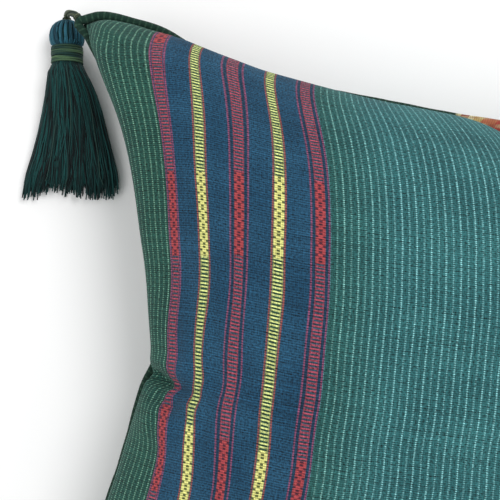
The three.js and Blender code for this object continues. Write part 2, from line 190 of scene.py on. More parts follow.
def front(a, b):
    p = span(a, b)
    q = fullness(a, STEEP) * fullness(b, STEEP)
    swell = np.where(q < .56, np.sin(np.pi * q / .56) ** 2, 0)
    px = np.where(a < 0, -column(LEFT_SEAM, "out", b), column(RIGHT_SEAM, "out", b))
    py = np.where(b < 0, -column(BOTTOM_SEAM, "out", a), column(TOP_SEAM, "out", a))
    side = lambda t: smooth((np.abs(t) - .55) / .3)
    p[..., 0] += px * swell * side(a)
    p[..., 1] += py * swell * side(b)
    p[..., 2] += CROWN * q
    return p


def back(a, b):
    p = span(a, b)
    q = np.minimum(fullness(a, .5) * fullness(b, .5) * REST_DROP, 1)
    side = lambda t: smooth((np.abs(t) - .6) / .3)
    swell = np.sin(np.pi * q) ** 2
    p[..., 0] += 3.2 * np.sign(a) * swell * side(a)
    p[..., 1] += 3.2 * np.sign(b) * swell * side(b)
    p[..., 2] *= (1 - q) ** 1.15
    return p


def even_net(surface, rounds=6, fine=6):
    """Where the cloth's threads cross on a panel, the threads evenly spread over it."""
    a, b = np.meshgrid(np.sin(np.linspace(-1, 1, NU + 1) * np.pi / 2),
                       np.sin(np.linspace(-1, 1, NV + 1) * np.pi / 2))
    for _ in range(rounds):
        for turned in (False, True):
            aa, bb = (a.T, b.T) if turned else (a, b)
            n = aa.shape[1] - 1
            t = np.linspace(0, n, n * fine + 1)
            k = np.minimum(t.astype(int), n - 1)
            f = t - k
            fa = aa[:, k] * (1 - f) + aa[:, k + 1] * f
            fb = bb[:, k] * (1 - f) + bb[:, k + 1] * f
            p = surface(fa, fb)
            s = np.concatenate([np.zeros((len(p), 1)), np.cumsum(norm(np.diff(p, axis=1)), axis=1)], 1)
            na, nb = np.empty_like(aa), np.empty_like(bb)
            for j in range(len(aa)):
                want = np.linspace(0, s[j, -1], n + 1)
                na[j] = np.interp(want, s[j], fa[j])
                nb[j] = np.interp(want, s[j], fb[j])
            na[:, 0], na[:, -1], nb[:, 0], nb[:, -1] = aa[:, 0], aa[:, -1], bb[:, 0], bb[:, -1]
            a, b = (na.T.copy(), nb.T.copy()) if turned else (na, nb)
    return a, b


def normals(p):
    du, dv = np.empty_like(p), np.empty_like(p)
    du[:, 1:-1], du[:, 0], du[:, -1] = p[:, 2:] - p[:, :-2], p[:, 1] - p[:, 0], p[:, -1] - p[:, -2]
    dv[1:-1], dv[0], dv[-1] = p[2:] - p[:-2], p[1] - p[0], p[-1] - p[-2]
    m = np.cross(du, dv)
    return m / np.maximum(norm(m), 1e-9)[..., None]


def fold_depth(x, y, folds):
    depth = np.zeros_like(x)
    for row in folds:
        f = dict(zip(FOLD_NAMES, row))
        dx, dy = f["to_x"] - f["from_x"], f["to_y"] - f["from_y"]
        length = math.hypot(dx, dy)
        along = ((x - f["from_x"]) * dx + (y - f["from_y"]) * dy) / length
        across = ((x - f["from_x"]) * dy - (y - f["from_y"]) * dx) / length
        fade = (1 - smooth((along + 4) / (length + 4))) * smooth((along + 16) / 12)
        wide = f["width"] * (1 + np.maximum(along, 0) / length * .8)
        depth += f["depth"] * fade * np.exp(-(across / wide) ** 2)
    return depth


# ---------------------------------------------------------------- cloth simulation
def links():
    """Pairs of thread crossings that hold each other, in groups with no crossing twice."""
    full = slice(None)
    hu, hv = WIDE / NU, TALL / NV
    out = []
    for r, kind in ((1, "thread"), (2, "bend"), (4, "stiff")):
        for k in range(2):
            for n, h, across in ((NU, hu, True), (NV, hv, False)):
                i = np.array([i for i0 in range(k * r, n + 1 - r, 2 * r)
                              for i in range(i0, min(i0 + r, n + 1 - r))])
                out.append(((full, i), (full, i + r), h * r, kind) if across
                           else ((i, full), (i + r, full), h * r, kind))
    for p in range(2):
        for q in range(2):
            j, i = np.arange(p, NV, 2)[:, None], np.arange(q, NU, 2)[None, :]
            out.append(((j, i), (j + 1, i + 1), math.hypot(hu, hv), "bias"))
            out.append(((j, i + 1), (j + 1, i), math.hypot(hu, hv), "bias"))
    return out


def relax(p, steps, spare=.972, hold=.08, push=.03, seed=3):
    """Lets the cloth of a panel find its own length over the filling: it takes up or lets
    go cloth thread by thread, buckling softly where there is too much."""
    rng = np.random.default_rng(seed)
    stiff = dict(thread=(.8, .45), bend=(0, .16), stiff=(0, .08), bias=(.10, .05))
    goal = p.copy()
    w = np.ones(p.shape[:2])
    w[0] = w[-1] = 0
    w[:, 0] = w[:, -1] = 0
    grain = rng.normal(size=p.shape[:2])
    for _ in range(3):
        grain = (grain + np.roll(grain, 1, 0) + np.roll(grain, -1, 0) + np.roll(grain, 1, 1) + np.roll(grain, -1, 1)) / 5
    p = p + normals(p) * (grain * .8 * w)[..., None]
    speed = np.zeros_like(p)
    groups = links()
    for step in range(steps):
        old = p.copy()
        speed = speed * .85 + normals(p) * (push * w)[..., None] + (goal - p) * (hold * w)[..., None]
        p = p + speed
        for k in range(4):
            for a, b, rest, kind in groups:
                if kind == "stiff" and k:
                    continue
                ks, kc = stiff[kind]
                A, B = p[a], p[b]
                d = B - A
                l = np.maximum(norm(d), 1e-6)
                wa, wb = w[a], w[b]
                s = wa + wb
                f = (np.where(l > rest * spare, ks, kc) * (l - rest * spare) / l / np.where(s > 0, s, 1))[..., None] * d
                p[a] = A + f * wa[..., None]
                p[b] = B - f * wb[..., None]
        speed = (p - old) * w[..., None] * .9
    return p


def let_in(p, n):
    """The front with its creases pressed in along its own normals."""
    rise = smooth((p[..., 2] - seam_z(np.clip(p[..., 1] / CY, -1, 1)) - 4) / 20)
    return p - n * (fold_depth(p[..., 0], p[..., 1], CREASES) * rise)[..., None]


def panels():
    a, b = even_net(front)
    p = front(a, b)
    q = fullness(a, STEEP) * fullness(b, STEEP)
    p[..., 2] -= fold_depth(p[..., 0], p[..., 1], FOLDS) * smooth(q / .3)
    p = relax(p, 50)
    a2, b2 = even_net(back, rounds=4)
    r = back(a2, b2)
    r[0], r[-1], r[:, 0], r[:, -1] = p[0], p[-1], p[:, 0], p[:, -1]
    return p, r


# ---------------------------------------------------------------- materials
def lin(r, g, b):
    f = lambda c: (c / 255 / 12.92) if c / 255 <= .04045 else ((c / 255 + .055) / 1.055) ** 2.4
    return (f(r), f(g), f(b), 1)


class Nodes:
    """Short ways to write a material's nodes."""

    def __init__(self, name, roughness, sheen, tint):
        self.material = bpy.data.materials.new(name)
        self.material.use_nodes = True
        self.tree = self.material.node_tree
        self.tree.nodes.clear()
        self.out = self.tree.nodes.new("ShaderNodeOutputMaterial")
        self.shader = self.tree.nodes.new("ShaderNodeBsdfPrincipled")
        self.shader.inputs["Roughness"].default_value = roughness
        self.shader.inputs["Sheen Weight"].default_value = sheen
        self.shader.inputs["Sheen Roughness"].default_value = .5
        self.shader.inputs["Sheen Tint"].default_value = tint
        self.shader.inputs["Specular IOR Level"].default_value = .25
        self.tree.links.new(self.shader.outputs[0], self.out.inputs[0])

    def put(self, value, socket):
        if isinstance(value, bpy.types.NodeSocket):
            self.tree.links.new(value, socket)
        else:
            socket.default_value = value

    def m(self, op, *values, clamp=False):
        n = self.tree.nodes.new("ShaderNodeMath")
        n.operation = op
        n.use_clamp = clamp
        for k, v in enumerate(values):
            self.put(v, n.inputs[k])
        return n.outputs[0]

    def add(self, a, b): return self.m("ADD", a, b)
    def mul(self, a, b): return self.m("MULTIPLY", a, b)
    def sub(self, a, b): return self.m("SUBTRACT", a, b)
    def near(self, x, centre, half, soft):
        """1 within half of centre, fading over soft."""
        d = self.m("ABSOLUTE", self.sub(x, centre))
        return self.m("MULTIPLY_ADD", d, -1 / soft, half / soft + .5, clamp=True)
    def above(self, x, edge_at, soft):
        return self.m("MULTIPLY_ADD", x, 1 / soft, -edge_at / soft + .5, clamp=True)
    def wave(self, x, pitch, shift=0.0):
        """0 to 1 and back over each pitch."""
        s = self.m("COSINE", self.m("MULTIPLY_ADD", x, 2 * math.pi / pitch, shift))
        return self.m("MULTIPLY_ADD", s, .5, .5)
    def both(self, *values):
        out = values[0]
        for v in values[1:]:
            out = self.mul(out, v)
        return out

    def mix(self, factor, a, b, blend="MIX"):
        n = self.tree.nodes.new("ShaderNodeMix")
        n.data_type = "RGBA"
        n.blend_type = blend
        n.clamp_factor = True
        self.put(factor, n.inputs[0])
        self.put(a, n.inputs[6])
        self.put(b, n.inputs[7])
        return n.outputs[2]

    def uv(self, name):
        n = self.tree.nodes.new("ShaderNodeUVMap")
        n.uv_map = name
        s = self.tree.nodes.new("ShaderNodeSeparateXYZ")
        self.tree.links.new(n.outputs[0], s.inputs[0])
        return s.outputs[0], s.outputs[1]

    def vector(self, x, y, z=0.0):
        n = self.tree.nodes.new("ShaderNodeCombineXYZ")
        self.put(x, n.inputs[0])
        self.put(y, n.inputs[1])
        self.put(z, n.inputs[2])
        return n.outputs[0]

    def noise(self, vector, scale, detail=2.0, rough=.5):
        n = self.tree.nodes.new("ShaderNodeTexNoise")
        self.put(vector, n.inputs["Vector"])
        n.inputs["Scale"].default_value = scale
        n.inputs["Detail"].default_value = detail
        n.inputs["Roughness"].default_value = rough
        return n.outputs[0]

    def bump(self, height, strength, distance):
        n = self.tree.nodes.new("ShaderNodeBump")
        n.inputs["Strength"].default_value = strength
        n.inputs["Distance"].default_value = distance
        self.put(height, n.inputs["Height"])
        self.tree.links.new(n.outputs[0], self.shader.inputs["Normal"])

    def colour(self, value):
        self.put(value, self.shader.inputs["Base Color"])


def cloth_material():
    n = Nodes("striped_handwoven_cloth", .9, .06, (.75, .85, .85, 1))
    um, vm = n.uv("cloth")
    u0, v = n.mul(um, 1000.0), n.mul(vm, 1000.0)
    # hand weaving: threads stray a little
    stray = n.sub(n.noise(n.vector(n.mul(um, 60.0), n.mul(vm, 14.0)), 1.0, 2.0), .5)
    u = n.m("MULTIPLY_ADD", stray, .55, u0)
    patch = n.noise(n.vector(um, vm), 34.0, 3.0)
    weft = n.noise(n.vector(n.mul(um, 12.0), n.mul(vm, 900.0)), 1.0, 2.0)
    warp = n.noise(n.vector(n.mul(um, 700.0), n.mul(vm, 8.0)), 1.0, 2.0)
    fleck = n.noise(n.vector(n.mul(um, 900.0), n.mul(vm, 900.0)), 1.0, 1.0)

    rib_green, rib_blue = n.wave(v, 1.05), n.wave(v, 1.22)
    in_blue = n.near(u, BAR_FIRST + 2 * BAR_PITCH + .8, 2 * BAR_PITCH + 4.5, .5)
    rib = n.add(n.mul(rib_green, n.sub(1.0, in_blue)), n.mul(rib_blue, in_blue))

    # green ground with pinstripes, every other one dimmer
    right = n.above(u, 140.0, 60.0)
    green = n.mix(right, lin(30, 72, 64), lin(40, 92, 96))
    green = n.mix(n.m("MULTIPLY_ADD", patch, 2.2, -.75, clamp=True), green, n.mix(right, lin(40, 88, 76), lin(54, 112, 114)))
    pin_shift = -2 * math.pi * (BAR_FIRST - PIN_PITCH * 1.6) / PIN_PITCH
    line = n.m("MULTIPLY_ADD", n.wave(u, PIN_PITCH, pin_shift), 5.2, -4.1, clamp=True)
    other = n.wave(u, PIN_PITCH * 2, pin_shift / 2)
    power = n.m("MULTIPLY_ADD", other, .34, .46)
    dotted = n.m("MULTIPLY_ADD", n.mul(rib, n.m("MULTIPLY_ADD", fleck, 2.4, -.1)), .95, .22)
    pin = n.both(line, power, dotted, n.m("MULTIPLY_ADD", n.above(v, 352.0, 70.0), n.mul(right, -.45), 1.0))
    pale = n.mix(right, lin(112, 158, 136), lin(128, 188, 190))
    ground = n.mix(pin, green, pale)
    between = n.wave(u, PIN_PITCH, pin_shift + math.pi)
    ground = n.mix(n.mul(between, .16), ground, lin(20, 60, 58))

    # the blue band
    fine = n.wave(u, PIN_PITCH * .56)
    blue = n.mix(n.m("MULTIPLY_ADD", patch, 2.0, -.7, clamp=True), lin(22, 61, 87), lin(40, 84, 112))
    blue = n.mix(n.mul(fine, .12), blue, lin(40, 92, 116))
    colour = n.mix(in_blue, ground, blue)

    # the bars: which one, and how far from its middle
    near_bar = n.m("DIVIDE", n.sub(u, BAR_FIRST), BAR_PITCH)
    which = n.m("ROUND", n.m("MINIMUM", n.m("MAXIMUM", near_bar, 0.0), 4.0))
    w = n.sub(u, n.m("MULTIPLY_ADD", which, BAR_PITCH, BAR_FIRST))
    far = n.m("ABSOLUTE", w)
    yellow = n.m("MODULO", which, 2.0)
    red = n.sub(1.0, yellow)
    begin, every = 0.0, 0.0
    for k in range(5):
        this = n.m("COMPARE", which, float(k), .1)
        begin = n.m("MULTIPLY_ADD", this, NET_FROM[k], begin)
        every = n.m("MULTIPLY_ADD", this, NET_EVERY[k], every)
    first = n.m("COMPARE", which, 0.0, .1)
    place = n.m("FLOORED_MODULO", n.sub(v, begin), every)
    net = n.near(place, NET_LONG / 2, NET_LONG / 2, .6)
    ladder = n.sub(1.0, net)

    core = n.near(w, 0.0, 2.55, .45)
    guide_at = n.m("MULTIPLY_ADD", first, -1.2, n.m("MULTIPLY_ADD", yellow, -1.35, 4.6))
    guide = n.m("MULTIPLY_ADD", n.m("ABSOLUTE", n.sub(far, guide_at)), -1 / .35, .42 / .35 + .5, clamp=True)
    gap = n.both(red, n.sub(1.0, first), n.near(far, 3.35, .85, .35))
    colour = n.mix(n.mul(gap, .5), colour, lin(24, 40, 58))
    pink = n.mix(yellow, lin(150, 66, 96), lin(160, 78, 54))
    colour = n.mix(n.mul(guide, n.m("MULTIPLY_ADD", rib, .40, n.m("MULTIPLY_ADD", yellow, .05, .40))), colour, pink)

    rung = n.m("MULTIPLY_ADD", n.wave(v, 1.80), 3.0, -1.0, clamp=True)
    lad_light = n.mix(yellow, lin(158, 72, 88), lin(212, 222, 140))
    lad_dark = n.mix(yellow, lin(44, 70, 86), lin(24, 66, 54))
    lad = n.mix(rung, lad_dark, lad_light)
    lad_edge = n.near(far, 2.3, .35, .3)
    lad = n.mix(n.mul(lad_edge, .6), lad, n.mix(yellow, lin(150, 60, 78), lin(150, 150, 84)))

    # the net: two stacked dots in the middle, then a pair at the sides
    cell = n.mul(n.m("FRACT", n.m("DIVIDE", v, 4.64)), 3.0)
    row = n.sub(n.m("FRACT", cell), .5)
    tall = n.near(row, 0.0, .33, .2)
    last = n.above(cell, 2.0, .05)
    middle = n.both(n.near(w, 0.0, .82, .3), tall, n.sub(1.0, last))
    sides = n.both(n.above(far, 1.25, .3), n.near(row, 0.0, .34, .2), last)
    dots = n.m("ADD", middle, sides, clamp=True)
    net_light = n.mix(yellow, lin(168, 70, 74), lin(224, 222, 136))
    net_light = n.mix(n.mul(n.wave(v, 1.547), .25), net_light, n.mix(yellow, lin(136, 48, 56), lin(172, 180, 92)))
    net_dark = n.mix(yellow, lin(62, 34, 52), lin(34, 58, 34))
    netted = n.mix(n.mul(dots, .9), net_light, net_dark)
    colour = n.mix(core, colour, n.mix(net, lad, netted))

    # threads catch and lose light
    knit = n.mul(n.wave(u, .98), n.wave(v, 1.05, 1.2))
    level = n.m("MULTIPLY_ADD", rib, n.m("MULTIPLY_ADD", in_blue, .06, .50), .67)
    level = n.m("MULTIPLY_ADD", weft, .80, n.sub(level, .40))
    level = n.m("MULTIPLY_ADD", warp, .24, n.sub(level, .12))
    rough = n.m("MULTIPLY_ADD", n.mul(core, net), -1.4, 2.2)
    level = n.m("MULTIPLY_ADD", n.sub(fleck, .5), rough, level)
    level = n.m("MULTIPLY_ADD", knit, .42, n.sub(level, .10))
    colour = n.mix(1.0, colour, n.vector(level, level, level), "MULTIPLY")
    n.colour(colour)

    height = n.m("MULTIPLY_ADD", rib, .55, n.mul(pin, .35))
    height = n.m("MULTIPLY_ADD", n.both(core, n.add(n.mul(net, n.sub(1.0, dots)), n.mul(ladder, rung))), .9, height)
    height = n.m("MULTIPLY_ADD", fleck, .5, height)
    n.bump(height, .7, .0004)
    return n.material


def piping_material():
    n = Nodes("piping_over_cord", .92, .04, (.7, .8, .8, 1))
    sm, tm = n.uv("cloth")
    s, t = n.mul(sm, 1000.0), n.mul(tm, 1000.0)
    grain = n.noise(n.vector(n.mul(sm, 500.0), n.mul(tm, 500.0)), 1.0, 2.0)
    # The piping is cut from the cover's own cloth; its green, with a little random grain, is painted much darker than
    # the cover's: painted shade in the seam.
    base = n.mix(grain, lin(10, 32, 26), lin(26, 58, 46))
    line = n.m("MULTIPLY_ADD", n.wave(s, PIN_PITCH), 3.0, -2.0, clamp=True)
    across = n.m("MULTIPLY_ADD", n.wave(t, 2.4), .6, .4)
    colour = n.mix(n.both(line, across, .24), base, lin(92, 128, 104))
    # the woven bars of the same cloth where it crosses them, on the upper edge
    a = n.tree.nodes.new("ShaderNodeUVMap")
    a.uv_map = "band"
    sep = n.tree.nodes.new("ShaderNodeSeparateXYZ")
    n.tree.links.new(a.outputs[0], sep.inputs[0])
    x = n.mul(sep.outputs[0], 1000.0)
    ramp = n.tree.nodes.new("ShaderNodeValToRGB")
    ramp.color_ramp.interpolation = "CONSTANT"
    stops = [(0.0, lin(214, 206, 160)), (.05, lin(146, 60, 50)), (.125, lin(224, 216, 172)), (.175, lin(200, 172, 112)),
             (.25, lin(186, 108, 78)), (.36, lin(176, 68, 60)), (.50, lin(206, 206, 160)), (.70, lin(176, 84, 62)), (1.0, lin(190, 160, 104))]
    els = ramp.color_ramp.elements
    els[0].position, els[0].color = stops[0]
    els[1].position, els[1].color = stops[-1]
    for pos, c in stops[1:-1]:
        e = els.new(pos)
        e.color = c
    n.tree.links.new(n.m("DIVIDE", n.add(n.m("MULTIPLY_ADD", t, .5, x), 26.5), 56.0, clamp=True), ramp.inputs[0])
    inside = n.near(x, 0.0, 27.0, 2.0)
    stripe = n.m("MULTIPLY_ADD", n.wave(n.m("MULTIPLY_ADD", x, .12, t), 2.9), 3.0, -1.6, clamp=True)
    woven = n.mix(n.mul(stripe, .5), ramp.outputs[0], n.mix(n.wave(x, 9.0), lin(214, 206, 160), lin(150, 66, 54)))
    woven = n.mix(n.mul(n.wave(s, 1.1), .35), woven, lin(80, 70, 50))
    colour = n.mix(n.mul(inside, .85), colour, woven)
    level = n.m("MULTIPLY_ADD", grain, .5, .75)
    n.colour(n.mix(1.0, colour, n.vector(level, level, level), "MULTIPLY"))
    height = n.add(n.mul(n.wave(s, .9), .5), n.mul(grain, .8))
    n.bump(height, .6, .0003)
    return n.material


def thread_material(name, dark, light, twist=.9, rough=.72, sheen=.06):
    """Cotton thread: uv runs along the thread and round it."""
    n = Nodes(name, rough, sheen, (.6, .8, .85, 1))
    s, t = n.uv("thread")
    ply = n.wave(n.add(n.mul(s, 1000.0), n.mul(t, twist)), twist)
    shade = n.noise(n.vector(n.mul(s, 9.0), n.mul(t, .61)), 3.0, 1.0)
    colour = n.mix(n.m("MULTIPLY_ADD", shade, 5.5, -2.35, clamp=True), lin(*dark), lin(*light))
    # painted shade in the grooves between the twisted plies
    level = n.m("MULTIPLY_ADD", ply, .28, .80)
    n.colour(n.mix(1.0, colour, n.vector(level, level, level), "MULTIPLY"))
    n.bump(ply, .4, .00015)
    return n.material


# ---------------------------------------------------------------- meshes
def new_object(name, verts, faces, material, uvs=(), flat=False):
    mesh = bpy.data.meshes.new(name)
    mesh.from_pydata((np.asarray(verts) / 1000).tolist(), [], faces)
    for layer, values in uvs:
        mesh.uv_layers.new(name=layer)
        mesh.uv_layers[layer].data.foreach_set("uv", np.asarray(values, np.float32).ravel())
    mesh.materials.append(material)
    mesh.polygons.foreach_set("use_smooth", [not flat] * len(mesh.polygons))
    mesh.update()
    obj = bpy.data.objects.new(name, mesh)
    bpy.context.scene.collection.objects.link(obj)
    return obj


def wander(u, v):
    """Cloth places with the weave's sideways wander added."""
    bars = [BAR_FIRST + k * BAR_PITCH for k in range(5)]
    rows = np.stack([column(WANDER, key, v, "v") for key in ("b1", "b2", "b3", "b4", "b5")])
    out = np.zeros_like(u)
    knots = [0.0] + bars + [bars[-1] + 130.0, WIDE - 60.0]
    cols = np.concatenate([rows[:1] * .5, rows, rows[-1:], rows[-1:] * 0])
    for k in range(len(knots) - 1):
        t = (u - knots[k]) / (knots[k + 1] - knots[k])
        inside = (t >= 0) & (t < 1)
        out = np.where(inside, cols[k] * (1 - t) + cols[k + 1] * t, out)
    bend = smooth((v - 322) / 95) * smooth((u - 180) / 150) * (1 - smooth((u - 400) / 90))
    bend += .32 * smooth((v - 335) / 60) * smooth((u - 140) / 60) * (1 - smooth((u - 400) / 90))
    return u + out + 28 * bend


def tube_points(path, radius, sides, flat=1.0):
    """Rings of points round a path, and its own length at each."""
    path = np.asarray(path, float)
    t = np.gradient(path, axis=0)
    t /= np.maximum(norm(t), 1e-9)[:, None]
    up = np.array([0, 0, 1.0])
    side = np.cross(t, up)
    small = norm(side) < 1e-3
    side[small] = [1, 0, 0]
    side /= norm(side)[:, None]
    other = np.cross(side, t)
    ang = np.linspace(0, 2 * np.pi, sides, endpoint=False)
    radius = np.broadcast_to(np.asarray(radius, float), (len(path),))
    ring = (side[:, None] * np.cos(ang)[None, :, None] + other[:, None] * np.sin(ang)[None, :, None] * flat)
    length = np.concatenate([[0], np.cumsum(norm(np.diff(path, axis=0)))])
    return path[:, None] + ring * radius[:, None, None], length


class Bundle:
    """Many tubes in one mesh."""

    def __init__(self):
        self.verts, self.faces, self.uv, self.count = [], [], [], 0

    def tube(self, path, radius, sides, shift=0.0, flat=1.0, close=True):
        pts, length = tube_points(path, radius, sides, flat)
        n = len(pts)
        base = self.count
        self.verts.append(pts.reshape(-1, 3))
        self.count += n * sides
        for k in range(n - 1):
            for j in range(sides):
                m = (j + 1) % sides
                self.faces.append((base + k * sides + j, base + k * sides + m, base + (k + 1) * sides + m, base + (k + 1) * sides + j))
                s0, s1 = length[k] / 1000, length[k + 1] / 1000
                self.uv += [(s0, j / sides + shift), (s0, (j + 1) / sides + shift), (s1, (j + 1) / sides + shift), (s1, j / sides + shift)]
        if close:
            for k, order in ((0, -1), (n - 1, 1)):
                ring = [base + k * sides + j for j in range(sides)][::order]
                self.faces.append(tuple(ring))
                self.uv += [(length[k] / 1000, shift)] * sides

    def build(self, name, material):
        verts = np.concatenate(self.verts)
        verts[:, 2] = np.maximum(verts[:, 2], .05)
        return new_object(name, verts, self.faces, material, [("thread", self.uv)])


# ---------------------------------------------------------------- the filled cover
def build_body():
    p, r = panels()
    nu, nv = NU + 1, NV + 1
    front_id = np.arange(nu * nv).reshape(nv, nu)
    verts = [p.reshape(-1, 3)]
    back_id = front_id.copy()
    inner = r[1:-1, 1:-1]
    back_id[1:-1, 1:-1] = nu * nv + np.arange(inner.shape[0] * inner.shape[1]).reshape(inner.shape[:2])
    verts.append(inner.reshape(-1, 3))
    uu, vv = np.meshgrid(np.linspace(0, WIDE, nu), np.linspace(0, TALL, nv))
    wu = wander(uu, vv)
    faces, cloth, bake = [], [], []
    for side, ids in (("front", front_id), ("back", back_id)):
        for j in range(NV):
            for i in range(NU):
                c = [(j, i), (j, i + 1), (j + 1, i + 1), (j + 1, i)]
                if side == "back":
                    c = c[::-1]
                faces.append(tuple(int(ids[q]) for q in c))
                for q in c:
                    x, y = (wu[q] if side == "front" else uu[q]) / 1000, vv[q] / 1000
                    cloth.append((x, y))
                    bx, by = .01 + .98 * uu[q] / WIDE, .01 + .48 * vv[q] / TALL
                    bake.append((bx, by) if side == "front" else (bx, by + .5))
    obj = new_object("cushion_cover", np.concatenate(verts), faces, cloth_material(), [("OFBake", bake), ("cloth", cloth)])
    ring = {int(k) for k in np.concatenate([front_id[0], front_id[-1], front_id[:, 0], front_id[:, -1]])}
    crease = obj.data.attributes.new("crease_edge", "FLOAT", "EDGE")
    crease.data.foreach_set("value", [1.0 if e.vertices[0] in ring and e.vertices[1] in ring else 0.0 for e in obj.data.edges])
    sub = obj.modifiers.new("smooth", "SUBSURF")
    sub.levels = sub.render_levels = 1
    bpy.context.view_layer.objects.active = obj
    obj.select_set(True)
    bpy.ops.object.modifier_apply(modifier="smooth")
    obj.select_set(False)
    co, no = (np.empty(len(obj.data.vertices) * 3, np.float32) for _ in range(2))
    obj.data.vertices.foreach_get("co", co)
    obj.data.vertices.foreach_get("normal", no)
    co = let_in(co.reshape(-1, 3).astype(float) * 1000, no.reshape(-1, 3).astype(float)) / 1000
    obj.data.vertices.foreach_set("co", co.astype(np.float32).ravel())
    obj.data.update()
    return obj


# ---------------------------------------------------------------- the piping
def seam_loop():
    """Piping centres round the whole seam, the way out at each, and its place on the top edge."""
    sides = [("bottom", 1), ("right", 1), ("top", -1), ("left", -1)]
    grid = np.sin(np.linspace(-1, 1, 190) * np.pi / 2)[3:-3]
    pts, outs, tops = [], [], []

    def out_at(side, at, way):
        at = np.clip(at, -1, 1)
        d = edge(side, np.clip(at + .004 * way, -1, 1)) - edge(side, np.clip(at - .004 * way, -1, 1))
        o = np.stack([d[..., 1], -d[..., 0], np.zeros_like(d[..., 0])], -1)
        return o / norm(o)[..., None]

    for k, (side, way) in enumerate(sides):
        last, last_way = sides[(k + 3) % 4]
        tip = edge(side, np.array(float(-way)))
        before, after = out_at(last, np.array(float(last_way)), last_way), out_at(side, np.array(float(-way)), way)
        for share in np.linspace(0, 1, 9):
            o = before * (1 - share) + after * share
            o /= norm(o)
            pts.append(tip + o * TIP_OFFSET)
            outs.append(o)
            tops.append(9.0)
        at = grid * way
        o = out_at(side, at, way)
        # up the left side's upper half it lies rolled under the front
        under = smooth((at - .08) / .2) * (1 - smooth((at - .965) / .03)) if side == "left" else at * 0
        e = edge(side, at) + o * (PIPING_OFFSET - 1.9 * under)[:, None] + np.array([0, 0, -1.6]) * under[:, None]
        pts += list(e)
        outs += list(o)
        tops += list(e[:, 0] / 1000 if side == "top" else np.full(len(at), 9.0))
    return np.array(pts), np.array(outs), np.array(tops)


def build_piping():
    pts, outs, tops = seam_loop()
    for _ in range(2):
        pts = (np.roll(pts, 1, 0) + pts * 2 + np.roll(pts, -1, 0)) / 4
    sides = 12
    rng = np.random.default_rng(5)
    n = len(pts)
    length = np.concatenate([[0], np.cumsum(norm(np.diff(np.concatenate([pts, pts[:1]]), axis=0)))])
    lump = 1 + .035 * np.sin(length[:-1] / 7.0) + .03 * np.sin(length[:-1] / 3.1 + 1) + rng.normal(size=n) * .006
    wide = 1 + 2.0 * np.exp(-((tops * 1000 - GATHER_X) / GATHER_WIDE) ** 2)
    ang = np.linspace(0, 2 * np.pi, sides, endpoint=False) + .2
    verts = (pts[:, None] + outs[:, None] * (np.cos(ang)[None, :] * (PIPING_RADIUS * lump * wide)[:, None] + ((wide - 1) * PIPING_RADIUS)[:, None])[..., None]
             + np.array([0, 0, 1.0])[None, None] * np.sin(ang)[None, :, None] * (PIPING_RADIUS * lump)[:, None, None])
    # where the bars cross it the piping is fuller, and stands up
    verts[..., 2] += (wide[:, None] - 1) * PIPING_RADIUS * (.5 + .5 * np.sin(ang))[None, :] * .9
    faces, uv, band = [], [], []
    for k in range(n):
        m = (k + 1) % n
        for j in range(sides):
            h = (j + 1) % sides
            faces.append((k * sides + j, m * sides + j, m * sides + h, k * sides + h))
            s0, s1 = length[k] / 1000, length[k + 1] / 1000
            t0, t1 = ang[j] * PIPING_RADIUS / 1000, (ang[j] + 2 * math.pi / sides) * PIPING_RADIUS / 1000
            uv += [(s0, t0), (s1, t0), (s1, t1), (s0, t1)]
            x0, x1 = tops[k], tops[m]
            band += [(x0, 0), (x1, 0), (x1, 1), (x0, 1)]
    return new_object("seam_piping", verts.reshape(-1, 3), faces, piping_material(), [("cloth", uv), ("band", band)])


# ---------------------------------------------------------------- the tassels
def place(local, corner):
    """Tassel space (across, along, up) to the cushion's."""
    lean = math.radians(corner["lean"])
    local = np.asarray(local, float)
    x, along, z = local[..., 0], local[..., 1], local[..., 2]
    return np.stack([corner["head"][0] + x * math.cos(lean) + along * math.sin(lean),
                     corner["head"][1] + x * math.sin(lean) - along * math.cos(lean), z], -1)


